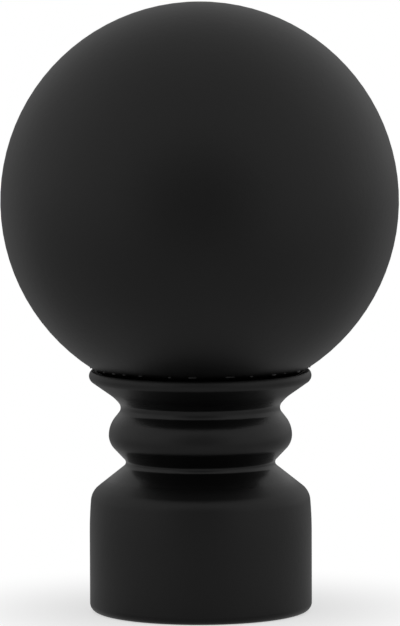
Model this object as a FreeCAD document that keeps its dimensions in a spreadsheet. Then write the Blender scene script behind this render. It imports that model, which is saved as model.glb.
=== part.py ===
import FreeCAD, Part
import math
import os
import Sketcher

# Ball finial for a curtain pole, standing on the mouth of its socket.
# Millimetres, +Z up along the pole's axis, origin at the centre of the socket's mouth.
# A hollow ball sits in the dished lip of a turned collar and is drawn down by a screw from inside
# the socket. A grub screw in the back of the socket holds the finial on the pole.

driving_sizes = {
    # socket that slides over the pole's end
    "pole_diameter": 25.0,
    "pole_clearance": 0.2,
    "socket_wall": 4.1,
    "socket_depth": 17.5,
    "mouth_chamfer": 0.6,
    "rim_round": 1.25,
    "floor_round": 0.8,
    # turned outline of the collar, from the socket's floor up and from the floor down
    "floor_to_lower_neck": 5.1,
    "shoulder_drop": 5.95,
    "ease_drop": 4.65,
    "ease_radius": 58.0,
    "shoulder_round": 2.8,
    "lower_neck_round": 0.8,
    "lower_neck_depth": 2.55,
    "bead_rise": 4.15,
    "bead_inset": 2.95,
    "bead_under_round": 2.85,
    "bead_over_round": 4.15,
    "upper_neck_rise": 4.15,
    "upper_neck_depth": 1.8,
    "upper_neck_round": 1.25,
    "cove_rise": 0.78,
    "cove_radius": 7.0,
    "lip_rise": 4.85,
    "lip_overhang": 4.75,
    "lip_round": 1.1,
    "lip_edge_inset": 0.4,
    "lip_edge_round": 0.2,
    # hollow ball
    "ball_diameter": 60.0,
    "ball_wall": 1.2,
    "ball_gap": 0.35,
    "seat_diameter": 14.0,
    "boss_diameter": 12.0,
    "boss_length": 12.0,
    # screw that holds the ball on the collar
    "screw_diameter": 6.0,
    "screw_length": 20.0,
    "screw_head_diameter": 10.0,
    "screw_head_height": 6.0,
    "screw_head_round": 0.6,
    "screw_tip_chamfer": 0.8,
    "screw_key": 5.0,
    "screw_key_depth": 3.0,
    "screw_hole_clearance": 0.25,
    "head_hole_clearance": 0.5,
    "head_hole_depth": 6.5,
    # grub screw that grips the pole
    "grub_diameter": 4.0,
    "grub_length": 4.0,
    "grub_chamfer": 0.35,
    "grub_cup_depth": 0.5,
    "grub_cup_diameter": 2.4,
    "grub_key": 2.0,
    "grub_key_depth": 2.0,
    "grub_height": 8.5,
    "grub_recess": 0.05,
    "thread_clearance": 0.05,
}


class Size:
    """A length with its value in millimetres and the sheet expression that gives it."""

    def __init__(self, value, text):
        self.value = value
        self.text = text

    @staticmethod
    def of(other):
        return other if isinstance(other, Size) else Size(float(other), repr(other))

    def __add__(self, other):
        other = Size.of(other)
        return Size(self.value + other.value, f"({self.text} + {other.text})")

    def __sub__(self, other):
        other = Size.of(other)
        return Size(self.value - other.value, f"({self.text} - {other.text})")

    def __mul__(self, other):
        other = Size.of(other)
        return Size(self.value * other.value, f"({self.text} * {other.text})")

    def __truediv__(self, other):
        other = Size.of(other)
        return Size(self.value / other.value, f"({self.text} / {other.text})")

    def __neg__(self):
        return Size(-self.value, f"(-{self.text})")


def leg(hypotenuse, other_leg):
    """Third side of a right-angled triangle."""
    value = math.sqrt(hypotenuse.value ** 2 - other_leg.value ** 2)
    text = f"sqrt({hypotenuse.text} * {hypotenuse.text} - {other_leg.text} * {other_leg.text})"
    return Size(value, text)


zero = Size(0.0, "0")
half_turn = math.pi

doc = FreeCAD.newDocument("BallFinial")
sheet = doc.addObject("Spreadsheet::Sheet", "Sizes")
size = {}
for row, (name, number) in enumerate(driving_sizes.items(), start=1):
    sheet.set(f"A{row}", name)
    sheet.set(f"B{row}", str(number))
    sheet.setAlias(f"B{row}", name)
    size[name] = Size(number, f"Sizes.{name}")
doc.recompute()

# Sizes that follow from the driving ones
bore_radius = size["pole_diameter"] / 2 + size["pole_clearance"]
socket_radius = bore_radius + size["socket_wall"]
bead_radius = socket_radius - size["bead_inset"]
lower_neck_radius = bead_radius - size["lower_neck_depth"]
upper_neck_radius = bead_radius - size["upper_neck_depth"]
lip_radius = upper_neck_radius + size["lip_overhang"]

lower_neck_height = size["socket_depth"] + size["floor_to_lower_neck"]
shoulder_height = lower_neck_height - size["shoulder_drop"]
ease_height = shoulder_height - size["ease_drop"]
bead_height = lower_neck_height + size["bead_rise"]
upper_neck_height = bead_height + size["upper_neck_rise"]
lip_height = upper_neck_height + size["lip_rise"]
lip_top = lip_height + size["lip_round"]

# The dish is a sphere about the ball's centre that leaves an even gap and meets the lip at its edge
ball_radius = size["ball_diameter"] / 2
dish_radius = ball_radius + size["ball_gap"]
edge_radius = lip_radius - size["lip_edge_inset"]
edge_height = lip_height + leg(size["lip_round"], size["lip_round"] - size["lip_edge_inset"])
ball_height = edge_height + leg(dish_radius, edge_radius)
seat_radius = size["seat_diameter"] / 2
seat_depth = leg(ball_radius, seat_radius)
seat_height = ball_height - seat_depth

head_seat_height = size["socket_depth"] + size["head_hole_depth"]
screw_radius = size["screw_diameter"] / 2
grub_radius = size["grub_diameter"] / 2

# How a sketch counts its own axes and the points of an edge
across_axis, upright_axis = range(-1, -3, -1)
start, end, centre = range(1, 4)
origin_point = (across_axis, start)
same_place = 1e-4


def new_body(label):
    body = doc.addObject("PartDesign::Body", label)
    body.Label = label
    return body


def new_sketch(body, name, plane, offset=None):
    sketch = body.newObject("Sketcher::SketchObject", name)
    face = next(item for item in body.Origin.OriginFeatures if item.Role == plane)
    sketch.AttachmentSupport = [(face, "")]
    sketch.MapMode = "FlatFace"
    if offset is not None:
        sketch.setExpression("AttachmentOffset.Base.z", offset.text)
    return sketch


def spot(across, up):
    return across.value, up.value


def on_circle(middle, radius, angle):
    return middle[0] + radius.value * math.cos(angle), middle[1] + radius.value * math.sin(angle)


def add_line(sketch, first, last):
    return sketch.addGeometry(Part.LineSegment(FreeCAD.Vector(*first), FreeCAD.Vector(*last)))


def add_arc(sketch, middle, radius, first_angle, last_angle):
    circle = Part.Circle(FreeCAD.Vector(*middle), FreeCAD.Vector(0, 0, 1), radius.value)
    return sketch.addGeometry(Part.ArcOfCircle(circle, first_angle, last_angle))


def tie(sketch, kind, *references):
    return sketch.addConstraint(Sketcher.Constraint(kind, *references))


def dimension(sketch, name, kind, references, length):
    index = sketch.addConstraint(Sketcher.Constraint(kind, *references, length.value))
    sketch.renameConstraint(index, name)
    sketch.setExpression(f"Constraints.{name}", length.text)


def place(sketch, name, point, across, up):
    """Fix a point of the sketch at a distance from the origin both ways."""
    dimension(sketch, f"{name}_across", "DistanceX", (*origin_point, *point), across)
    dimension(sketch, f"{name}_up", "DistanceY", (*origin_point, *point), up)


def add_polygon(sketch, corners):
    """Closed outline of straight sides; each corner has a name and a place."""
    points = [spot(across, up) for across, up in corners.values()]
    sides = [add_line(sketch, a, b) for a, b in zip(points, points[1:] + points[:1])]
    for side, following in zip(sides, sides[1:] + sides[:1]):
        tie(sketch, "Coincident", side, end, following, start)
    for side, (name, (across, up)) in zip(sides, corners.items()):
        place(sketch, name, (side, start), across, up)


def add_circle(sketch, name, radius, up=None):
    """Circle about the origin, or about a point straight above it."""
    middle = FreeCAD.Vector(*spot(zero, up or zero))
    index = sketch.addGeometry(Part.Circle(middle, FreeCAD.Vector(0, 0, 1), radius.value))
    dimension(sketch, f"{name}_radius", "Radius", (index,), radius)
    if up:
        tie(sketch, "PointOnObject", index, centre, upright_axis)
        dimension(sketch, f"{name}_up", "DistanceY", (*origin_point, index, centre), up)
    else:
        tie(sketch, "Coincident", index, centre, *origin_point)
    return index


def add_hexagon(sketch, across_flats):
    """Regular hexagon about the origin with two corners on the sketch's X axis."""
    corner_radius = across_flats / math.sqrt(3)
    points = [on_circle((0, 0), corner_radius, turn * half_turn / 3) for turn in range(6)]
    ring = add_circle(sketch, "corner_circle", corner_radius)
    sketch.toggleConstruction(ring)
    sides = [add_line(sketch, a, b) for a, b in zip(points, points[1:] + points[:1])]
    for side, following in zip(sides, sides[1:] + sides[:1]):
        tie(sketch, "Coincident", side, end, following, start)
        tie(sketch, "PointOnObject", side, start, ring)
    for side in sides[1:]:
        tie(sketch, "Equal", sides[0], side)
    tie(sketch, "PointOnObject", sides[0], start, across_axis)


def revolve(body, sketch, name, kind="Revolution"):
    feature = body.newObject(f"PartDesign::{kind}", name)
    feature.Profile = sketch
    feature.ReferenceAxis = (sketch, ["V_Axis"])
    feature.Angle = 360
    doc.recompute()
    return feature


def pocket(body, sketch, name, depth=None, reverse=False):
    """Cut a sketch out of a body, right through unless a depth is given."""
    before = body.Shape.Volume
    feature = body.newObject("PartDesign::Pocket", name)
    feature.Profile = sketch
    feature.Reversed = reverse
    if depth is None:
        feature.Type = "ThroughAll"
    else:
        feature.setExpression("Length", depth.text)
    doc.recompute()
    if body.Shape.Volume >= before:
        raise RuntimeError(f"{name} cuts nothing")
    return feature


def ring_edge(body, radius, height):
    """Name of the body's round edge of that radius about its axis at that height."""
    for index, edge in enumerate(body.Tip.Shape.Edges, start=1):
        curve = edge.Curve
        if not isinstance(curve, Part.Circle):
            continue
        middle = FreeCAD.Vector(0, 0, height.value)
        if curve.Center.isEqual(middle, same_place) and abs(curve.Radius - radius.value) < same_place:
            return f"Edge{index}"
    raise RuntimeError(f"no round edge of radius {radius.value:.3f} at height {height.value:.3f}")


def dress_edge(body, kind, name, radius, height, amount):
    """Fillet or chamfer one round edge of a body."""
    edge = ring_edge(body, radius, height)
    feature = body.newObject(f"PartDesign::{kind}", name)
    feature.Base = (feature.BaseFeature, [edge])
    feature.setExpression("Radius" if kind == "Fillet" else "Size", amount.text)
    doc.recompute()
    return feature


def tangent_angle(convex, convex_radius, hollow, hollow_radius):
    """Direction, from the axis out, of the normal of the line that touches a bead and a hollow."""
    across, up = hollow[0] - convex[0], hollow[1] - convex[1]
    spread = math.acos((convex_radius.value + hollow_radius.value) / math.hypot(across, up))
    return math.atan2(up, across) + (-spread if up > 0 else spread)


def draw_collar_outline(sketch):
    """Outer outline of the collar: socket wall, eased shoulder, two coves round a bead, lip."""
    rounds = {
        "shoulder": size["shoulder_round"],
        "lower_neck": size["lower_neck_round"],
        "bead_under": size["bead_under_round"],
        "bead_over": size["bead_over_round"],
        "upper_neck": size["upper_neck_round"],
        "cove": size["cove_radius"],
        "lip": size["lip_round"],
    }
    centres = {
        "lower_neck": (lower_neck_radius + rounds["lower_neck"], lower_neck_height),
        "bead_over": (bead_radius - rounds["bead_over"], bead_height),
        "upper_neck": (upper_neck_radius + rounds["upper_neck"], upper_neck_height),
        "lip": (lip_radius - rounds["lip"], lip_height),
    }
    middle = {name: spot(*place_sizes) for name, place_sizes in centres.items()}
    ease_middle = (socket_radius.value - size["ease_radius"].value, ease_height.value)
    lift = shoulder_height.value - ease_height.value
    reach = math.sqrt((size["ease_radius"].value - rounds["shoulder"].value) ** 2 - lift ** 2)
    middle["shoulder"] = (ease_middle[0] + reach, shoulder_height.value)
    ease_angle = math.atan2(lift, reach)
    middle["bead_under"] = spot(bead_radius - rounds["bead_under"], bead_height)
    cove_turn = -math.asin(size["cove_rise"].value / rounds["upper_neck"].value)
    middle["cove"] = on_circle(middle["upper_neck"], rounds["cove"] - rounds["upper_neck"], cove_turn)

    def between(bulge, hollow):
        return tangent_angle(middle[bulge], rounds[bulge], middle[hollow], rounds[hollow])

    slope = between("shoulder", "lower_neck")
    under_bead = between("bead_under", "lower_neck")
    over_bead = between("bead_over", "upper_neck")
    under_lip = between("lip", "cove")

    def touch(name, angle):
        return on_circle(middle[name], rounds[name], angle)

    base = add_line(sketch, (0, 0), spot(socket_radius, zero))
    wall = add_line(sketch, spot(socket_radius, zero), spot(socket_radius, ease_height))
    ease = add_arc(sketch, ease_middle, size["ease_radius"], 0, ease_angle)
    shoulder = add_arc(sketch, middle["shoulder"], rounds["shoulder"], ease_angle, slope)
    slope_line = add_line(sketch, touch("shoulder", slope), touch("lower_neck", slope + half_turn))
    lower_neck = add_arc(
        sketch, middle["lower_neck"], rounds["lower_neck"], under_bead + half_turn, slope + half_turn
    )
    under_line = add_line(
        sketch, touch("lower_neck", under_bead + half_turn), touch("bead_under", under_bead)
    )
    bead_under = add_arc(sketch, middle["bead_under"], rounds["bead_under"], under_bead, 0)
    bead_over = add_arc(sketch, middle["bead_over"], rounds["bead_over"], 0, over_bead)
    over_line = add_line(
        sketch, touch("bead_over", over_bead), touch("upper_neck", over_bead + half_turn)
    )
    upper_neck = add_arc(
        sketch, middle["upper_neck"], rounds["upper_neck"], cove_turn + half_turn, over_bead + half_turn
    )
    cove = add_arc(
        sketch, middle["cove"], rounds["cove"], under_lip + half_turn, cove_turn + half_turn
    )
    lip_line = add_line(sketch, touch("cove", under_lip + half_turn), touch("lip", under_lip))
    lip = add_arc(sketch, middle["lip"], rounds["lip"], under_lip, half_turn / 2)
    top = add_line(sketch, touch("lip", half_turn / 2), spot(zero, lip_top))
    axis = add_line(sketch, spot(zero, lip_top), (0, 0))

    tie(sketch, "Coincident", base, start, *origin_point)
    tie(sketch, "Horizontal", base)
    tie(sketch, "Coincident", base, end, wall, start)
    tie(sketch, "Vertical", wall)
    tie(sketch, "Horizontal", top)
    tie(sketch, "Coincident", top, end, axis, start)
    tie(sketch, "Coincident", axis, end, base, start)
    tie(sketch, "Vertical", axis)
    joins = [
        (wall, end, ease, start),
        (ease, end, shoulder, start),
        (shoulder, end, slope_line, start),
        (slope_line, end, lower_neck, end),
        (lower_neck, start, under_line, start),
        (under_line, end, bead_under, start),
        (bead_under, end, bead_over, start),
        (bead_over, end, over_line, start),
        (over_line, end, upper_neck, end),
        (upper_neck, start, cove, end),
        (cove, start, lip_line, start),
        (lip_line, end, lip, start),
        (lip, end, top, start),
    ]
    for join in joins:
        tie(sketch, "Tangent", *join)

    dimension(sketch, "socket_radius", "DistanceX", (base, start, base, end), socket_radius)
    dimension(sketch, "wall_height", "DistanceY", (wall, start, wall, end), ease_height)
    dimension(sketch, "ease_radius", "Radius", (ease,), size["ease_radius"])
    dimension(sketch, "shoulder_up", "DistanceY", (*origin_point, shoulder, centre), shoulder_height)
    dimension(sketch, "bead_under_up", "DistanceY", (*origin_point, bead_under, centre), bead_height)
    cove_start = (upper_neck, centre, upper_neck, start)
    dimension(sketch, "cove_rise", "DistanceY", cove_start, size["cove_rise"])
    arcs = {
        "shoulder": shoulder,
        "lower_neck": lower_neck,
        "bead_under": bead_under,
        "bead_over": bead_over,
        "upper_neck": upper_neck,
        "cove": cove,
        "lip": lip,
    }
    for name, arc in arcs.items():
        dimension(sketch, f"{name}_round", "Radius", (arc,), rounds[name])
        if name in centres:
            place(sketch, name, (arc, centre), *centres[name])


def draw_dish(sketch):
    """What is hollowed out of the lip: round the ball with an even gap, down to a flat seat."""
    brim_radius = lip_radius + size["lip_round"]
    brim_height = ball_height - leg(dish_radius, brim_radius)
    clear_height = brim_height + size["lip_round"]
    dish_floor = ball_height - leg(dish_radius, seat_radius)
    first_angle = math.atan2(dish_floor.value - ball_height.value, seat_radius.value)
    last_angle = math.atan2(brim_height.value - ball_height.value, brim_radius.value)

    seat = add_line(sketch, spot(zero, seat_height), spot(seat_radius, seat_height))
    step = add_line(sketch, spot(seat_radius, seat_height), spot(seat_radius, dish_floor))
    dish = add_arc(sketch, spot(zero, ball_height), dish_radius, first_angle, last_angle)
    brim = add_line(sketch, spot(brim_radius, brim_height), spot(brim_radius, clear_height))
    cover = add_line(sketch, spot(brim_radius, clear_height), spot(zero, clear_height))
    axis = add_line(sketch, spot(zero, clear_height), spot(zero, seat_height))
    outline = [seat, step, dish, brim, cover, axis]
    for side, following in zip(outline, outline[1:] + outline[:1]):
        tie(sketch, "Coincident", side, end, following, start)
    for level in (seat, cover):
        tie(sketch, "Horizontal", level)
    for upright in (step, brim, axis):
        tie(sketch, "Vertical", upright)
    tie(sketch, "PointOnObject", seat, start, upright_axis)
    tie(sketch, "PointOnObject", dish, centre, upright_axis)
    dimension(sketch, "seat_radius", "DistanceX", (seat, start, seat, end), seat_radius)
    dimension(sketch, "seat_up", "DistanceY", (*origin_point, seat, start), seat_height)
    dimension(sketch, "dish_radius", "Radius", (dish,), dish_radius)
    dimension(sketch, "ball_up", "DistanceY", (*origin_point, dish, centre), ball_height)
    dimension(sketch, "brim_radius", "DistanceX", (cover, end, cover, start), brim_radius)
    dimension(sketch, "clear_up", "DistanceY", (*origin_point, cover, end), clear_height)


def draw_half_disc(sketch, name, radius, flat_depth=None):
    """Half disc against the upright axis, cut off flat below the centre where a depth is given."""
    low = -(flat_depth or radius)
    first_angle = math.asin(low.value / radius.value)
    rim = add_arc(sketch, (0, 0), radius, first_angle, half_turn / 2)
    axis = add_line(sketch, spot(zero, radius), spot(zero, low))
    tie(sketch, "Coincident", rim, centre, *origin_point)
    tie(sketch, "Coincident", rim, end, axis, start)
    tie(sketch, "PointOnObject", axis, start, upright_axis)
    tie(sketch, "PointOnObject", axis, end, upright_axis)
    dimension(sketch, f"{name}_radius", "Radius", (rim,), radius)
    if flat_depth:
        flat = add_line(sketch, spot(zero, low), spot(leg(radius, flat_depth), low))
        tie(sketch, "Coincident", axis, end, flat, start)
        tie(sketch, "Coincident", flat, end, rim, start)
        tie(sketch, "Horizontal", flat)
        dimension(sketch, "flat_depth", "DistanceY", (axis, end, *origin_point), flat_depth)
    else:
        tie(sketch, "Coincident", axis, end, rim, start)


def make_collar():
    body = new_body("collar")
    outline = new_sketch(body, "collar_outline", "XZ_Plane")
    draw_collar_outline(outline)
    revolve(body, outline, "collar_turning")

    dish = new_sketch(body, "dish_outline", "XZ_Plane")
    draw_dish(dish)
    revolve(body, dish, "ball_dish", "Groove")

    bores = {
        "socket_bore": (bore_radius, size["socket_depth"]),
        "head_hole": (size["screw_head_diameter"] / 2 + size["head_hole_clearance"], head_seat_height),
        "screw_hole": (screw_radius + size["screw_hole_clearance"], None),
    }
    for name, (radius, depth) in bores.items():
        circle = new_sketch(body, f"{name}_circle", "XY_Plane")
        add_circle(circle, name, radius)
        pocket(body, circle, name, depth, reverse=True)

    dress_edge(body, "Fillet", "rim_edge", socket_radius, zero, size["rim_round"])
    dress_edge(body, "Chamfer", "mouth_edge", bore_radius, zero, size["mouth_chamfer"])
    dress_edge(body, "Fillet", "floor_corner", bore_radius, size["socket_depth"], size["floor_round"])
    dress_edge(body, "Fillet", "lip_edge", edge_radius, edge_height, size["lip_edge_round"])

    tapping = new_sketch(body, "grub_hole_circle", "XZ_Plane")
    add_circle(tapping, "grub_hole", grub_radius + size["thread_clearance"], up=size["grub_height"])
    pocket(body, tapping, "grub_hole")
    return body


def make_ball():
    """Two pressed half shells welded into one, with a flat spot and a tapped boss inside."""
    body = new_body("ball")
    outside = new_sketch(body, "ball_outline", "XZ_Plane")
    draw_half_disc(outside, "ball", ball_radius, seat_depth)
    revolve(body, outside, "ball_outside")

    inside = new_sketch(body, "hollow_outline", "XZ_Plane")
    draw_half_disc(inside, "hollow", ball_radius - size["ball_wall"])
    revolve(body, inside, "ball_hollow", "Groove")

    boss_circle = new_sketch(body, "boss_circle", "XY_Plane", -seat_depth)
    add_circle(boss_circle, "boss", size["boss_diameter"] / 2)
    boss = body.newObject("PartDesign::Pad", "boss")
    boss.Profile = boss_circle
    boss.setExpression("Length", size["boss_length"].text)
    doc.recompute()

    thread_circle = new_sketch(body, "boss_thread_circle", "XY_Plane", -seat_depth)
    add_circle(thread_circle, "boss_thread", screw_radius + size["thread_clearance"])
    pocket(body, thread_circle, "boss_thread", size["boss_length"], reverse=True)
    body.setExpression("Placement.Base.z", ball_height.text)
    return body


def make_fixing_screw():
    """Socket cap screw; its own origin is under the head, with the shank up."""
    body = new_body("fixing_screw")
    head_radius = size["screw_head_diameter"] / 2
    head_bottom = -size["screw_head_height"]
    tip_radius = screw_radius - size["screw_tip_chamfer"]
    tip_start = size["screw_length"] - size["screw_tip_chamfer"]
    outline = new_sketch(body, "screw_outline", "XZ_Plane")
    add_polygon(outline, {
        "head_middle": (zero, head_bottom),
        "head_rim": (head_radius, head_bottom),
        "head_seat": (head_radius, zero),
        "shank_root": (screw_radius, zero),
        "shank_end": (screw_radius, tip_start),
        "tip_rim": (tip_radius, size["screw_length"]),
        "tip_middle": (zero, size["screw_length"]),
    })
    revolve(body, outline, "screw_turning")
    dress_edge(body, "Fillet", "head_edge", head_radius, head_bottom, size["screw_head_round"])

    key = new_sketch(body, "screw_key_hexagon", "XY_Plane", head_bottom)
    add_hexagon(key, size["screw_key"])
    pocket(body, key, "screw_key", size["screw_key_depth"], reverse=True)
    body.setExpression("Placement.Base.z", head_seat_height.text)
    return body


def make_grub_screw():
    """Cup-point grub screw; its own origin is at the cup end, with the key end up."""
    body = new_body("grub_screw")
    cup_radius = size["grub_cup_diameter"] / 2
    inner_radius = grub_radius - size["grub_chamfer"]
    outline = new_sketch(body, "grub_outline", "XZ_Plane")
    add_polygon(outline, {
        "cup_middle": (zero, size["grub_cup_depth"]),
        "cup_rim": (cup_radius, zero),
        "point_rim": (inner_radius, zero),
        "thread_start": (grub_radius, size["grub_chamfer"]),
        "thread_end": (grub_radius, size["grub_length"] - size["grub_chamfer"]),
        "key_rim": (inner_radius, size["grub_length"]),
        "key_middle": (zero, size["grub_length"]),
    })
    revolve(body, outline, "grub_turning")

    key = new_sketch(body, "grub_key_hexagon", "XY_Plane", size["grub_length"])
    add_hexagon(key, size["grub_key"])
    pocket(body, key, "grub_key", size["grub_key_depth"])
    body.Placement.Rotation = FreeCAD.Rotation(FreeCAD.Vector(1, 0, 0), -90)
    body.setExpression("Placement.Base.y", (bore_radius + size["grub_recess"]).text)
    body.setExpression("Placement.Base.z", size["grub_height"].text)
    return body


bodies = [make_collar(), make_ball(), make_fixing_screw(), make_grub_screw()]
doc.recompute()

for item in doc.Objects:
    if "Invalid" in item.State or "Error" in item.State:
        raise RuntimeError(f"{item.Name} failed: {item.State}")
for body in bodies:
    if body.Shape.isNull() or not body.Shape.isValid() or len(body.Shape.Solids) != 1:
        raise RuntimeError(f"{body.Label} is not one valid solid")

os.makedirs("parts", exist_ok=True)
for body in bodies:
    body.Shape.exportStep(f"parts/{body.Label}.step")
    box = body.Shape.BoundBox
    print(f"{body.Label}: {body.Shape.Volume:.1f} mm3, z {box.ZMin:.3f} to {box.ZMax:.3f}")
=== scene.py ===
import math
import bmesh
import bpy
from mathutils import Matrix, Vector


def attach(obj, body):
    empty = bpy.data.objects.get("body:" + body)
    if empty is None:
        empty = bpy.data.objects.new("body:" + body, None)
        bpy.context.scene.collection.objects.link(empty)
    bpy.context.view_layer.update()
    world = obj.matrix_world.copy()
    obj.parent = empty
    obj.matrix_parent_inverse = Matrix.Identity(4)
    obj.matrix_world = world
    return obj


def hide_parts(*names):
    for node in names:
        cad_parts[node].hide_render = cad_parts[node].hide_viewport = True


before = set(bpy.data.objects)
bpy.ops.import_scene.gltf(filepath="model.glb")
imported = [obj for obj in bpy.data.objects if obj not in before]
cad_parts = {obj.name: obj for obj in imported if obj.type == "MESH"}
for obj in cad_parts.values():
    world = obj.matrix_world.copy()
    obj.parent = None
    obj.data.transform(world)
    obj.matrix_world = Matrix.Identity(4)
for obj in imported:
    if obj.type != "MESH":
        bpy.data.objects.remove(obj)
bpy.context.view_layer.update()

mm = 0.001
fullTurn = 2 * math.pi
mergeDistance = 1e-7
print("frame loaded:", ", ".join(sorted(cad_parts)))


class Wire:
    # a socket in a node tree; arithmetic on wires adds Math nodes
    def __init__(self, tree, socket=None):
        self.tree = tree
        self.socket = socket

    def node(self, kind, settings=None, inputs=None, output=0):
        made = self.tree.nodes.new(kind)
        for name, value in (settings or {}).items():
            if name == "stops":
                setStops(made.color_ramp, value)
            else:
                setattr(made, name, value)
        for name, value in (inputs or {}).items():
            if isinstance(value, Wire):
                self.tree.links.new(value.socket, made.inputs[name])
            else:
                made.inputs[name].default_value = value
        return Wire(self.tree, made.outputs[output] if made.outputs else None)

    def out(self, name):
        return Wire(self.tree, self.socket.node.outputs[name])

    def math(self, operation, *values, clamp=False):
        settings = {"operation": operation, "use_clamp": clamp}
        return self.node("ShaderNodeMath", settings, dict(enumerate(values)))

    def __add__(self, other):
        return self.math("ADD", self, other)

    def __radd__(self, other):
        return self.math("ADD", other, self)

    def __sub__(self, other):
        return self.math("SUBTRACT", self, other)

    def __rsub__(self, other):
        return self.math("SUBTRACT", other, self)

    def __mul__(self, other):
        return self.math("MULTIPLY", self, other)

    def __rmul__(self, other):
        return self.math("MULTIPLY", other, self)

    def __truediv__(self, other):
        return self.math("DIVIDE", self, other)

    def between(self, low, high):
        # 0 below low, 1 above high, smooth in between
        settings = {"interpolation_type": "SMOOTHSTEP"}
        return self.node("ShaderNodeMapRange", settings, {"Value": self, "From Min": low, "From Max": high})


def setStops(ramp, stops):
    while len(ramp.elements) < len(stops):
        ramp.elements.new(1.0)
    for element, (position, grey) in zip(ramp.elements, stops):
        element.position = position
        element.color = (grey, grey, grey, 1.0)


# outlines: lists of (distance from the axis, height)
arcStep = math.radians(4)


def arcPoints(middle, radius, first, last):
    count = max(2, math.ceil(abs(last - first) / arcStep) + 1)
    angles = [first + (last - first) * i / (count - 1) for i in range(count)]
    return [(middle[0] + radius * math.cos(a), middle[1] + radius * math.sin(a)) for a in angles]


def straightPoints(first, last, spacing):
    count = max(1, round(math.dist(first, last) / spacing))
    a, b = Vector(first), Vector(last)
    return [tuple(a.lerp(b, i / count)) for i in range(count + 1)]


def roundedPath(corners):
    # straight runs whose corners (distance, height, radius) are rounded
    points = []
    for i, (across, up, radius) in enumerate(corners):
        corner = Vector((across, up))
        if radius == 0 or i in (0, len(corners) - 1):
            points.append((across, up))
            continue
        back = (Vector(corners[i - 1][:2]) - corner).normalized()
        ahead = (Vector(corners[i + 1][:2]) - corner).normalized()
        half = back.angle(ahead) / 2
        middle = corner + (back + ahead).normalized() * radius / math.sin(half)
        first = corner + back * radius / math.tan(half) - middle
        last = corner + ahead * radius / math.tan(half) - middle
        start = math.atan2(first.y, first.x)
        turn = math.remainder(math.atan2(last.y, last.x) - start, fullTurn)
        points += arcPoints(tuple(middle), radius, start, start + turn)
    return points


def touchAngle(bulge, hollow):
    # direction of the normal of the line that touches a bulge and a hollow
    across, up = hollow[0] - bulge[0], hollow[1] - bulge[1]
    spread = math.acos((bulge[2] + hollow[2]) / math.hypot(across, up))
    return math.atan2(up, across) + (-spread if up > 0 else spread)


def openTree(tree, sockets, result):
    for name, kind in sockets.items():
        tree.interface.new_socket(name, in_out="INPUT", socket_type=kind)
    tree.interface.new_socket(result, in_out="OUTPUT", socket_type="NodeSocketGeometry")
    return Wire(tree).node("NodeGroupInput")


def closeTree(bench, shape, finish):
    real = bench.node("GeometryNodeRealizeInstances", {}, {0: shape})
    done = bench.node("GeometryNodeSetMaterial", {}, {"Geometry": real, "Material": finish})
    bench.node("NodeGroupOutput", {}, {0: done})


threadForm = {"slope": 1.5, "flat": 0.25}
rowNudge = 0.001  # keeps whole row numbers from rounding down


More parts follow.
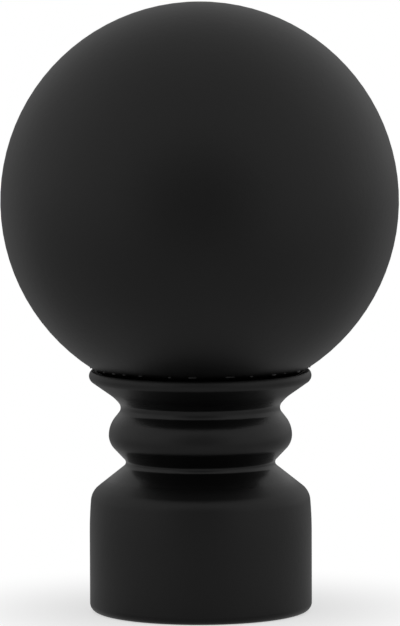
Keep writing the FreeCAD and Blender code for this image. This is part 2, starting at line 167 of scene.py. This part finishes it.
# one tree makes every turned piece: it spins an outline, cuts a thread and bores one hole
def turningTree():
    tree = bpy.data.node_groups.new("turning", "GeometryNodeTree")
    sockets = {
        "Outline": "NodeSocketGeometry",
        "Steps round": "NodeSocketInt",
        "Thread start": "NodeSocketFloat",
        "Thread end": "NodeSocketFloat",
        "Thread pitch": "NodeSocketFloat",
        "Thread depth": "NodeSocketFloat",
        "Bored": "NodeSocketBool",
        "Bore sides": "NodeSocketInt",
        "Bore radius": "NodeSocketFloat",
        "Bore length": "NodeSocketFloat",
        "Bore place": "NodeSocketVector",
        "Bore turn": "NodeSocketVector",
        "Finish": "NodeSocketMaterial",
    }
    given = openTree(tree, sockets, "Turned piece")
    bench = Wire(tree)
    outline = given.out("Outline")
    steps = given.out("Steps round")
    count = bench.node("GeometryNodeAttributeDomainSize", {"component": "MESH"}, {0: outline})
    grid = bench.node("GeometryNodeMeshGrid", {}, {"Vertices X": steps + 1, "Vertices Y": count})
    index = bench.node("GeometryNodeInputIndex")
    along = bench.math("MODULO", index, count)
    around = bench.math("FLOOR", index / count + rowNudge) / steps

    place = bench.node("GeometryNodeInputPosition")
    settings = {"data_type": "FLOAT_VECTOR", "domain": "POINT"}
    sampled = bench.node("GeometryNodeSampleIndex", settings, {
        "Geometry": outline, "Value": place, "Index": along,
    })
    parted = bench.node("ShaderNodeSeparateXYZ", {}, {0: sampled})
    height = parted.out("Z")

    pitch = given.out("Thread pitch")
    phase = bench.math("FRACT", height / pitch - around + 1)
    groove = bench.math("ABSOLUTE", 2 * phase - 1) * threadForm["slope"] - threadForm["flat"]
    runIn = bench.math("DIVIDE", height - given.out("Thread start"), pitch, clamp=True)
    runOut = bench.math("DIVIDE", given.out("Thread end") - height, pitch, clamp=True)
    depth = given.out("Thread depth")
    solid = bench.math("GREATER_THAN", parted.out("X"), depth)  # nothing is cut at the axis
    cut = bench.math("MULTIPLY", groove, 1.0, clamp=True) * runIn * runOut * solid
    radius = parted.out("X") - cut * depth

    angle = around * fullTurn
    across = radius * bench.math("COSINE", angle)
    deep = radius * bench.math("SINE", angle)
    spot = bench.node("ShaderNodeCombineXYZ", {}, {"X": across, "Y": deep, "Z": height})
    spun = bench.node("GeometryNodeSetPosition", {}, {"Geometry": grid, "Position": spot})
    closed = bench.node("GeometryNodeMergeByDistance", {}, {"Geometry": spun, "Distance": mergeDistance})

    drill = bench.node("GeometryNodeMeshCylinder", {}, {
        "Vertices": given.out("Bore sides"),
        "Radius": given.out("Bore radius"),
        "Depth": given.out("Bore length"),
    })
    drill = bench.node("GeometryNodeTransform", {}, {
        "Geometry": drill, "Translation": given.out("Bore place"), "Rotation": given.out("Bore turn"),
    })
    settings = {"operation": "DIFFERENCE", "solver": "EXACT"}
    bored = bench.node("GeometryNodeMeshBoolean", settings, {0: closed, 1: drill})
    chosen = bench.node("GeometryNodeSwitch", {"input_type": "GEOMETRY"}, {
        "Switch": given.out("Bored"), "False": closed, "True": bored,
    })
    closeTree(bench, chosen, given.out("Finish"))
    return tree


turning = turningTree()
sharpAngle = math.radians(32)


def growPiece(name, tree, points, values, place=Matrix.Identity(4)):
    # run a node tree on some points and keep the result as a plain mesh
    blank = bpy.data.objects.new(name + "Blank", bpy.data.meshes.new(name + "Blank"))
    blank.data.from_pydata(points, [], [])
    bpy.context.scene.collection.objects.link(blank)
    modifier = blank.modifiers.new(tree.name, "NODES")
    modifier.node_group = tree
    sockets = {item.name: item.identifier for item in tree.interface.items_tree if item.in_out == "INPUT"}
    for socket, value in values.items():
        modifier[sockets[socket]] = value
    ready = blank.evaluated_get(bpy.context.evaluated_depsgraph_get())
    mesh = bpy.data.meshes.new_from_object(ready)
    bpy.data.objects.remove(blank)

    shape = bmesh.new()
    shape.from_mesh(mesh)
    bmesh.ops.remove_doubles(shape, verts=shape.verts, dist=mergeDistance)
    bmesh.ops.recalc_face_normals(shape, faces=shape.faces)
    shape.to_mesh(mesh)
    shape.free()
    mesh.transform(place)
    mesh.shade_smooth()
    mesh.set_sharp_from_angle(angle=sharpAngle)
    mesh.name = name
    piece = bpy.data.objects.new(name, mesh)
    bpy.context.scene.collection.objects.link(piece)
    print(f"{name}: {len(mesh.polygons)} faces")
    return piece


def turnPiece(name, outline, values, place=Matrix.Identity(4)):
    return growPiece(name, turning, [(across, 0, up) for across, up in outline], values, place)


def settle(piece, node):
    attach(piece, "root")
    if node:
        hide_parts(node)


# satin black paint: orange peel and a fine grain, and on the collar faint lathe marks that show
# through it and a glossier coat in the coves, where the paint lies wetter
paintLook = {
    "colour": 0.0018,
    "specular": 0.24,
    "roughness": 0.4,
    "driftScale": 70.0,
    "toneSpread": 0.2,
    "sheenDrift": 0.05,
    "grainSheen": 0.02,
    "peelSize": 1.1 * mm,
    "peelHeight": 0.016 * mm,
    "grainSize": 0.2 * mm,
    "grainHeight": 0.01 * mm,
}
collarLook = {
    "coveRoughness": 0.2,
    "coveReach": (12.2 * mm, 14.6 * mm),
    "coveFloor": (16.5 * mm, 17.5 * mm),
    "shoulderTop": (20 * mm, 23 * mm),
    "shoulderStep": 0.9 * mm,
    "markSize": 0.3 * mm,
    "markHeight": 0.006 * mm,
}


def newFinish(name):
    finish = bpy.data.materials.new(name)
    finish.use_nodes = True
    finish.node_tree.nodes.clear()
    return finish, Wire(finish.node_tree)


def closeFinish(bench, shader):
    bench.node("ShaderNodeOutputMaterial", {}, {"Surface": shader})


def noise(bench, spot, scale, detail):
    return bench.node("ShaderNodeTexNoise", {}, {"Vector": spot, "Scale": scale, "Detail": detail})


def varied(bench, colour, spread, pattern):
    # a colour that a pattern makes lighter and darker
    tone = 1 - spread / 2 + spread * pattern
    shade = bench.node("ShaderNodeCombineColor", {}, {0: tone, 1: tone, 2: tone})
    settings = {"data_type": "RGBA", "blend_type": "MULTIPLY"}
    return bench.node("ShaderNodeMix", settings, {0: 1.0, 6: colour, 7: shade}, 2)


def satinPaint(name, look, turned=None):
    finish, bench = newFinish(name)
    spot = bench.node("ShaderNodeTexCoord").out("Object")
    peel = noise(bench, spot, 1 / look["peelSize"], 2.0)
    grain = noise(bench, spot, 1 / look["grainSize"], 1.0)
    drift = noise(bench, spot, look["driftScale"], 3.0)
    black = (look["colour"], look["colour"], look["colour"], 1.0)
    roughness = look["roughness"] + look["sheenDrift"] * (drift - 0.5) + look["grainSheen"] * (grain - 0.5)
    height = peel * (look["peelHeight"] / mm) + grain * (look["grainHeight"] / mm)
    if turned:
        cove, marks = turnedSurface(bench, spot, turned)
        roughness = roughness - (look["roughness"] - turned["coveRoughness"]) * cove
        height = height + marks * (turned["markHeight"] / mm)
    bump = bench.node("ShaderNodeBump", {}, {"Height": height, "Distance": mm, "Strength": 1.0})
    shader = bench.node("ShaderNodeBsdfPrincipled", {}, {
        "Base Color": varied(bench, black, look["toneSpread"], drift),
        "Roughness": roughness,
        "Normal": bump,
        "Specular IOR Level": look["specular"],
    })
    closeFinish(bench, shader)
    return finish


def turnedSurface(bench, spot, turned):
    parted = bench.node("ShaderNodeSeparateXYZ", {}, {0: spot})
    height = parted.out("Z")
    flat = bench.node("ShaderNodeCombineXYZ", {}, {"X": parted.out("X"), "Y": parted.out("Y")})
    reach = bench.node("ShaderNodeVectorMath", {"operation": "LENGTH"}, {0: flat}, "Value")
    # the glossier coat reaches further out on the shoulder
    step = turned["shoulderStep"] * (1 - height.between(*turned["shoulderTop"]))
    cove = (1 - (reach - step).between(*turned["coveReach"])) * height.between(*turned["coveFloor"])
    # noise that is long round the axis and short along the outline
    around = bench.node("ShaderNodeVectorMath", {"operation": "NORMALIZE"}, {0: flat})
    along = bench.node("ShaderNodeCombineXYZ", {}, {"Z": (height + reach) / turned["markSize"]})
    place = bench.node("ShaderNodeVectorMath", {"operation": "ADD"}, {0: around, 1: along})
    return cove, noise(bench, place, 1.0, 2.0)


steelLook = {
    "zinc": (0.60, 0.60, 0.58, 1.0),
    "oxide": (0.05, 0.05, 0.052, 1.0),
    "roughness": 0.32,
    "toneSpread": 0.4,
    "sheenSpread": 0.2,
    "scratchSize": 0.3 * mm,
    "scratchStretch": (0.3, 0.3, 1.0),
    "scratchHeight": 0.01 * mm,
    "scratchStrength": 0.5,
}


def screwSteel(name, colour, look):
    finish, bench = newFinish(name)
    spot = bench.node("ShaderNodeTexCoord").out("Object")
    turned = bench.node("ShaderNodeMapping", {}, {"Vector": spot, "Scale": look["scratchStretch"]})
    rub = noise(bench, turned, 1 / look["scratchSize"], 3.0)
    bump = bench.node("ShaderNodeBump", {}, {
        "Height": rub, "Distance": look["scratchHeight"], "Strength": look["scratchStrength"],
    })
    shader = bench.node("ShaderNodeBsdfPrincipled", {}, {
        "Base Color": varied(bench, colour, look["toneSpread"], rub),
        "Metallic": 1.0,
        "Roughness": look["roughness"] + look["sheenSpread"] * (rub - 0.5),
        "Normal": bump,
    })
    closeFinish(bench, shader)
    return finish


ballPaint = satinPaint("satinBlackBall", paintLook)
collarPaint = satinPaint("satinBlackCollar", paintLook, collarLook)
zincPlate = screwSteel("zincPlate", steelLook["zinc"], steelLook)
blackOxide = screwSteel("blackOxide", steelLook["oxide"], steelLook)
print("finishes made")


# collar: socket, eased shoulder, two coves round a bead, dished lip
collar = {
    "boreRadius": 12.7 * mm,
    "socketRadius": 16.8 * mm,
    "socketDepth": 17.5 * mm,
    "mouthChamfer": 0.6 * mm,
    "rimRound": 1.25 * mm,
    "floorRound": 0.8 * mm,
    "paintRound": 0.12 * mm,
    "easeHeight": 12.0 * mm,
    "easeRadius": 58.0 * mm,
    "shoulder": (16.65 * mm, 2.8 * mm),
    "lowerNeck": (11.3 * mm, 22.6 * mm, 0.8 * mm),
    "beadUnder": (13.85 * mm, 26.75 * mm, 2.85 * mm),
    "beadOver": (13.85 * mm, 26.75 * mm, 4.15 * mm),
    "upperNeck": (12.05 * mm, 30.9 * mm, 1.25 * mm),
    "cove": (0.78 * mm, 7.0 * mm),
    "lip": (16.8 * mm, 35.75 * mm, 1.1 * mm),
    "lipEdgeInset": 0.4 * mm,
    "lipEdgeRound": 0.2 * mm,
    "headHole": (5.5 * mm, 6.5 * mm),
    "screwHole": 3.25 * mm,
    "wallRows": 0.8 * mm,
    "easeRows": 12,
    "stepsRound": 256,
}
grubHole = {"radius": 2.05 * mm, "height": 8.5 * mm, "sides": 48}

ball = {
    "radius": 30.0 * mm,
    "wall": 1.2 * mm,
    "gap": 0.35 * mm,
    "seatRadius": 7.0 * mm,
    "boss": (6.0 * mm, 12.0 * mm),
    "threadHole": 3.05 * mm,
    "stepsRound": 256,
}


def ballPlace():
    # height of the ball's centre, from the dish that meets the lip's edge
    radius, height, nose = collar["lip"]
    edge = radius - collar["lipEdgeInset"]
    edgeHeight = height + math.sqrt(nose ** 2 - (nose - collar["lipEdgeInset"]) ** 2)
    dish = ball["radius"] + ball["gap"]
    return edgeHeight + math.sqrt(dish ** 2 - edge ** 2)


ballHeight = ballPlace()
seatHeight = ballHeight - math.sqrt(ball["radius"] ** 2 - ball["seatRadius"] ** 2)


def collarOutline(c):
    def bulge(radius, height, nose):
        return radius - nose, height, nose

    def hollow(radius, height, nose):
        return radius + nose, height, nose

    easeMiddle = (c["socketRadius"] - c["easeRadius"], c["easeHeight"])
    shoulderHeight, shoulderRound = c["shoulder"]
    lift = shoulderHeight - c["easeHeight"]
    reach = math.sqrt((c["easeRadius"] - shoulderRound) ** 2 - lift ** 2)
    shoulder = (easeMiddle[0] + reach, shoulderHeight, shoulderRound)
    easeAngle = math.atan2(lift, reach)
    lowerNeck = hollow(*c["lowerNeck"])
    beadUnder = bulge(*c["beadUnder"])
    beadOver = bulge(*c["beadOver"])
    upperNeck = hollow(*c["upperNeck"])
    lip = bulge(*c["lip"])

    # above the neck the hollow widens into a larger cove
    coveRise, coveRadius = c["cove"]
    coveTurn = -math.asin(coveRise / upperNeck[2])
    wider = coveRadius - upperNeck[2]
    cove = (upperNeck[0] + wider * math.cos(coveTurn), upperNeck[1] + wider * math.sin(coveTurn), coveRadius)

    slope = touchAngle(shoulder, lowerNeck)
    underBead = touchAngle(beadUnder, lowerNeck)
    overBead = touchAngle(beadOver, upperNeck)
    lipUnder = touchAngle(lip, cove)

    # the lip's edge round touches the lip's nose from inside and the dish from outside
    dish = ball["radius"] + ball["gap"]
    edgeRound = c["lipEdgeRound"]
    apart = Vector((-lip[0], ballHeight - lip[1]))
    toDish = dish + edgeRound
    toNose = lip[2] - edgeRound
    along = (toNose ** 2 - toDish ** 2 + apart.length_squared) / (2 * apart.length)
    aside = math.sqrt(toNose ** 2 - along ** 2)
    ahead = apart.normalized()
    middle = Vector(lip[:2]) + ahead * along + Vector((ahead.y, -ahead.x)) * aside
    noseEnd = math.atan2(middle.y - lip[1], middle.x - lip[0])
    dishStart = math.atan2(middle.y - ballHeight, middle.x)
    dishEnd = -math.acos(ball["seatRadius"] / dish)

    wall = c["socketRadius"]
    points = straightPoints((wall, c["rimRound"]), (wall, c["easeHeight"]), c["wallRows"])
    points += easePoints(easeMiddle, c["easeRadius"], easeAngle, c["easeRows"])
    points += arcPoints(shoulder[:2], shoulder[2], easeAngle, slope)
    points += arcPoints(lowerNeck[:2], lowerNeck[2], slope + math.pi, underBead + math.pi)
    points += arcPoints(beadUnder[:2], beadUnder[2], underBead, 0)
    points += arcPoints(beadOver[:2], beadOver[2], 0, overBead)
    points += arcPoints(upperNeck[:2], upperNeck[2], overBead + math.pi, coveTurn + math.pi)
    points += arcPoints(cove[:2], cove[2], coveTurn + math.pi, lipUnder + math.pi)
    points += arcPoints(lip[:2], lip[2], lipUnder, noseEnd)
    points += arcPoints(tuple(middle), edgeRound, noseEnd, dishStart + math.pi)
    points += arcPoints((0, ballHeight), dish, dishStart, dishEnd)
    headRadius, headDepth = c["headHole"]
    headSeat = c["socketDepth"] + headDepth
    bore, soft = c["boreRadius"], c["paintRound"]
    chamfer = c["mouthChamfer"]
    points += roundedPath([
        (ball["seatRadius"], seatHeight, 0),
        (c["screwHole"], seatHeight, 0),
        (c["screwHole"], headSeat, 0),
        (headRadius, headSeat, 0),
        (headRadius, c["socketDepth"], soft),
        (bore, c["socketDepth"], c["floorRound"]),
        (bore, chamfer, soft),
        (bore + chamfer, 0, soft),
        (wall, 0, c["rimRound"]),
        (wall, c["rimRound"], 0),
    ])
    return points


def easePoints(middle, radius, last, rows):
    # the slight curve in at the top of the socket's wall, too flat for steps of a fixed angle
    angles = [last * i / rows for i in range(rows)]
    return [(middle[0] + radius * math.cos(a), middle[1] + radius * math.sin(a)) for a in angles]


turnedCollar = turnPiece("turnedCollar", collarOutline(collar), {
    "Steps round": collar["stepsRound"],
    "Thread pitch": mm,
    "Bored": True,
    "Bore sides": grubHole["sides"],
    "Bore radius": grubHole["radius"],
    "Bore length": collar["socketRadius"],
    "Bore place": (0, collar["socketRadius"], grubHole["height"]),
    "Bore turn": (math.radians(90), 0, 0),
    "Finish": collarPaint,
})
settle(turnedCollar, "collar")


def ballOutline(b):
    middle = (0, ballHeight)
    inner = b["radius"] - b["wall"]
    bossRadius, bossLength = b["boss"]
    quarter = math.pi / 2
    flat = -math.acos(b["seatRadius"] / b["radius"])
    bossMeets = -math.acos(bossRadius / inner)
    points = arcPoints(middle, b["radius"], quarter, flat)
    points += [
        (b["threadHole"], seatHeight),
        (b["threadHole"], seatHeight + bossLength),
        (bossRadius, seatHeight + bossLength),
    ]
    points += arcPoints(middle, inner, bossMeets, quarter)
    return points


hollowBall = turnPiece("hollowBall", ballOutline(ball), {
    "Steps round": ball["stepsRound"],
    "Thread pitch": mm,
    "Finish": ballPaint,
})
settle(hollowBall, "ball")

# small nibs of paint left in the seam where the ball sits in the lip
seam = {
    "count": 34,
    "radius": 16.56 * mm,
    "wander": 0.06 * mm,
    "depth": 0.12 * mm,
    "length": (0.15 * mm, 0.6 * mm),
    "thickness": (0.1 * mm, 0.2 * mm),
    "sides": 12,
    "rings": 8,
    "seed": 3,
}


def nibTree():
    tree = bpy.data.node_groups.new("paintNibs", "GeometryNodeTree")
    sockets = {
        "Base": "NodeSocketGeometry",
        "Count": "NodeSocketInt",
        "Radius": "NodeSocketFloat",
        "Height": "NodeSocketFloat",
        "Wander": "NodeSocketFloat",
        "Depth": "NodeSocketFloat",
        "Shortest": "NodeSocketFloat",
        "Longest": "NodeSocketFloat",
        "Thinnest": "NodeSocketFloat",
        "Thickest": "NodeSocketFloat",
        "Sides": "NodeSocketInt",
        "Rings": "NodeSocketInt",
        "Seed": "NodeSocketInt",
        "Finish": "NodeSocketMaterial",
    }
    given = openTree(tree, sockets, "Nibs")
    bench = Wire(tree)

    def chance(low, high, draw):
        inputs = {2: low, 3: high, "Seed": given.out("Seed") + draw}
        return bench.node("FunctionNodeRandomValue", {"data_type": "FLOAT"}, inputs, 1)

    count = given.out("Count")
    angle = (bench.node("GeometryNodeInputIndex") + chance(0.0, 1.0, 0)) / count * fullTurn
    radius, wander = given.out("Radius"), given.out("Wander")
    spot = bench.node("ShaderNodeCombineXYZ", {}, {
        "X": radius * bench.math("COSINE", angle),
        "Y": radius * bench.math("SINE", angle),
        "Z": given.out("Height") + wander * chance(-0.5, 0.5, 1),
    })
    points = bench.node("GeometryNodePoints", {}, {"Count": count, "Position": spot})
    nib = bench.node("GeometryNodeMeshUVSphere", {}, {
        "Segments": given.out("Sides"), "Rings": given.out("Rings"), "Radius": 1.0,
    })
    scale = bench.node("ShaderNodeCombineXYZ", {}, {
        "X": given.out("Depth"),
        "Y": chance(given.out("Shortest"), given.out("Longest"), 2),
        "Z": chance(given.out("Thinnest"), given.out("Thickest"), 3),
    })
    turn = bench.node("ShaderNodeCombineXYZ", {}, {"Z": angle})
    nibs = bench.node("GeometryNodeInstanceOnPoints", {}, {
        "Points": points, "Instance": nib, "Rotation": turn, "Scale": scale,
    })
    closeTree(bench, nibs, given.out("Finish"))
    return tree


nibHeight = ballHeight - math.sqrt(ball["radius"] ** 2 - seam["radius"] ** 2)  # half sunk in the ball
paintNibs = growPiece("paintNibs", nibTree(), [], {
    "Count": seam["count"],
    "Radius": seam["radius"],
    "Height": nibHeight,
    "Wander": seam["wander"],
    "Depth": seam["depth"],
    "Shortest": seam["length"][0],
    "Longest": seam["length"][1],
    "Thinnest": seam["thickness"][0],
    "Thickest": seam["thickness"][1],
    "Sides": seam["sides"],
    "Rings": seam["rings"],
    "Seed": seam["seed"],
    "Finish": collarPaint,
})
settle(paintNibs, None)

# socket cap screw inside the socket
capScrew = {
    "headRadius": 5.0 * mm,
    "headHeight": 6.0 * mm,
    "headRound": 0.6 * mm,
    "radius": 3.0 * mm,
    "length": 20.0 * mm,
    "tipChamfer": 0.8 * mm,
    "neck": 0.2 * mm,
    "pitch": 1.0 * mm,
    "threadDepth": 0.55 * mm,
    "threadInset": 0.3 * mm,
    "key": 5.0 * mm,
    "keyDepth": 3.0 * mm,
    "stepsRound": 64,
}
rowsPerPitch = 8


def capScrewOutline(s):
    tip = s["length"] - s["tipChamfer"]
    points = roundedPath([
        (0, -s["headHeight"], 0),
        (s["headRadius"], -s["headHeight"], s["headRound"]),
        (s["headRadius"], 0, 0),
        (s["radius"], 0, 0),
    ])
    points += straightPoints((s["radius"], s["neck"]), (s["radius"], tip), s["pitch"] / rowsPerPitch)
    points += [(s["radius"] - s["tipChamfer"], s["length"]), (0, s["length"])]
    return points


headSeatHeight = collar["socketDepth"] + collar["headHole"][1]
fixingScrew = turnPiece("fixingScrew", capScrewOutline(capScrew), {
    "Steps round": capScrew["stepsRound"],
    "Thread start": capScrew["pitch"],
    "Thread end": capScrew["length"] - capScrew["threadInset"],
    "Thread pitch": capScrew["pitch"],
    "Thread depth": capScrew["threadDepth"],
    "Bored": True,
    "Bore sides": 6,
    "Bore radius": capScrew["key"] / math.sqrt(3),
    "Bore length": 2 * capScrew["keyDepth"],
    "Bore place": (0, 0, -capScrew["headHeight"]),
    "Finish": zincPlate,
}, Matrix.Translation((0, 0, headSeatHeight)))
settle(fixingScrew, "fixing_screw")

# grub screw in the back of the socket
grub = {
    "radius": 2.0 * mm,
    "length": 4.0 * mm,
    "chamfer": 0.35 * mm,
    "cupRadius": 1.2 * mm,
    "cupDepth": 0.5 * mm,
    "pitch": 0.7 * mm,
    "threadDepth": 0.38 * mm,
    "threadInset": 0.1 * mm,
    "key": 2.0 * mm,
    "keyDepth": 2.0 * mm,
    "recess": 0.05 * mm,
    "stepsRound": 64,
}


def grubOutline(s):
    rim = s["radius"] - s["chamfer"]
    thread = straightPoints(
        (s["radius"], s["chamfer"]), (s["radius"], s["length"] - s["chamfer"]), s["pitch"] / rowsPerPitch)
    return [(0, s["cupDepth"]), (s["cupRadius"], 0), (rim, 0), *thread, (rim, s["length"]), (0, s["length"])]


grubPlace = Matrix.Translation((0, collar["boreRadius"] + grub["recess"], grubHole["height"]))
grubScrew = turnPiece("grubScrew", grubOutline(grub), {
    "Steps round": grub["stepsRound"],
    "Thread start": grub["threadInset"],
    "Thread end": grub["length"] - grub["threadInset"],
    "Thread pitch": grub["pitch"],
    "Thread depth": grub["threadDepth"],
    "Bored": True,
    "Bore sides": 6,
    "Bore radius": grub["key"] / math.sqrt(3),
    "Bore length": 2 * grub["keyDepth"],
    "Bore place": (0, 0, grub["length"]),
    "Finish": blackOxide,
}, grubPlace @ Matrix.Rotation(math.radians(-90), 4, "X"))
settle(grubScrew, "grub_screw")
print("pieces in place")


# floor, light and camera; the ramps run from the back to the front
studio = {
    "floorReach": 3.0,
    "floorColour": (0.9, 0.9, 0.9, 1.0),
    "shadowReach": (17 * mm, 50 * mm),
    "shadowFade": 0.58,
    "tent": [(0.0, 0.12), (0.4, 0.95), (0.5, 1.0), (0.84, 1.0), (1.0, 0.38)],
    "roof": 0.85,
    "roofRise": (0.6, 0.95),
    "backdrop": 0.25,
    "backdropSpan": (0.3, 0.95),
    "backdropRise": (-0.2, 0.3),
    "rightWrap": 0.2,
    "rightSpan": (-0.3, 0.3),
    "floorTent": [(0.0, 0.13), (0.18, 0.43), (0.37, 0.5), (0.5, 0.58), (0.65, 0.7), (1.0, 0.68)],
    "farReach": (60 * mm, 380 * mm),
    "farGain": 0.3,
    "frontDip": 0.65,
    "frontSpan": (0.75, 1.0),
    # painted shade: the floor's reflected glow is dimmed this far round the foot
    "footShadeLevel": 0.7,
    "footShadeReach": (18 * mm, 40 * mm),
    "backGlow": 0.15,
    "backSpan": (0.6, 0.95),
    "backReach": (80 * mm, 240 * mm),
}


def tentLevel(bench, way):
    # brightness of the light tent in a direction: bright at the sides, dim at the back and the front
    parted = bench.node("ShaderNodeSeparateXYZ", {}, {0: way})
    back, up = parted.out("Y"), parted.out("Z")
    right = bench.math("MAXIMUM", parted.out("X"), 0.0)
    wrap = studio["rightWrap"] * right * back.between(*studio["rightSpan"])
    level = bench.node("ShaderNodeValToRGB", {"stops": studio["tent"]}, {0: 0.5 - 0.5 * (back - wrap)})
    roof = 1 - (1 - studio["roof"]) * up.between(*studio["roofRise"])
    backdrop = back.between(*studio["backdropSpan"]) * up.between(*studio["backdropRise"])
    return level * roof + studio["backdrop"] * backdrop


def floorLevel(bench, spot, away):
    # brightness of the lit floor as the paint mirrors it, with painted shade round the foot
    way = bench.node("ShaderNodeVectorMath", {"operation": "NORMALIZE"}, {0: spot})
    back = bench.node("ShaderNodeSeparateXYZ", {}, {0: way}).out("Y")
    level = bench.node("ShaderNodeValToRGB", {"stops": studio["floorTent"]}, {0: 0.5 - 0.5 * back})
    near = 1 - away.between(*studio["backReach"])
    level = level + studio["backGlow"] * back.between(*studio["backSpan"]) * near
    far = away.between(*studio["farReach"])
    front = (0 - back).between(*studio["frontSpan"])
    # painted shade: the glow fades towards the foot, in place of the object's own shadow on the floor
    paintedFootShade = studio["footShadeLevel"] + (1 - studio["footShadeLevel"]) * away.between(*studio["footShadeReach"])
    return level * paintedFootShade * (1 + far * (studio["farGain"] - studio["frontDip"] * front))


def whiteFloor():
    mesh = bpy.data.meshes.new("floor")
    reach = studio["floorReach"]
    corners = [(-reach, -reach, 0), (reach, -reach, 0), (reach, reach, 0), (-reach, reach, 0)]
    mesh.from_pydata(corners, [], [(0, 1, 2, 3)])
    floor = bpy.data.objects.new("floor", mesh)
    bpy.context.scene.collection.objects.link(floor)
    finish, bench = newFinish("whiteFloor")
    spot = bench.node("ShaderNodeTexCoord").out("Object")
    away = bench.node("ShaderNodeVectorMath", {"operation": "LENGTH"}, {0: spot}, "Value")
    path = bench.node("ShaderNodeLightPath")
    seen, glossy = path.out("Is Camera Ray"), path.out("Is Glossy Ray")
    glow = seen + glossy * floorLevel(bench, spot, away)
    plain = bench.node("ShaderNodeBsdfDiffuse", {}, {"Color": studio["floorColour"]})
    white = bench.node("ShaderNodeEmission", {}, {"Color": (1, 1, 1, 1), "Strength": glow})
    clear = studio["shadowFade"] + (1 - studio["shadowFade"]) * away.between(*studio["shadowReach"])
    share = glossy + seen * clear
    closeFinish(bench, bench.node("ShaderNodeMixShader", {}, {0: share, 1: plain, 2: white}))
    mesh.materials.append(finish)


def tentLight():
    world = bpy.data.worlds.new("tent")
    world.use_nodes = True
    world.node_tree.nodes.clear()
    bench = Wire(world.node_tree)
    level = tentLevel(bench, bench.node("ShaderNodeTexCoord").out("Generated"))
    seen = bench.node("ShaderNodeLightPath").out("Is Camera Ray")
    strength = seen + (1 - seen) * level
    light = bench.node("ShaderNodeBackground", {}, {"Color": (1, 1, 1, 1), "Strength": strength})
    bench.node("ShaderNodeOutputWorld", {}, {"Surface": light})
    bpy.context.scene.world = world


view = {
    "distance": 0.9,
    "height": 130.9 * mm,
    "tilt": 5.44,
    "roll": -0.2,
    "lens": 344.8,
    "sensor": 36.0,
    "nearest": 0.01,
}


def photoCamera():
    data = bpy.data.cameras.new("camera")
    data.lens = view["lens"]
    data.sensor_width = view["sensor"]
    data.clip_start = view["nearest"]
    camera = bpy.data.objects.new("camera", data)
    place = Matrix.Translation((0, -view["distance"], view["height"]))
    tilt = Matrix.Rotation(math.radians(90 - view["tilt"]), 4, "X")
    roll = Matrix.Rotation(math.radians(view["roll"]), 4, "Z")
    camera.matrix_world = place @ tilt @ roll
    bpy.context.scene.collection.objects.link(camera)
    bpy.context.scene.camera = camera


whiteFloor()
tentLight()
photoCamera()
bpy.context.scene.view_settings.view_transform = "Standard"
print("floor, light and camera set")
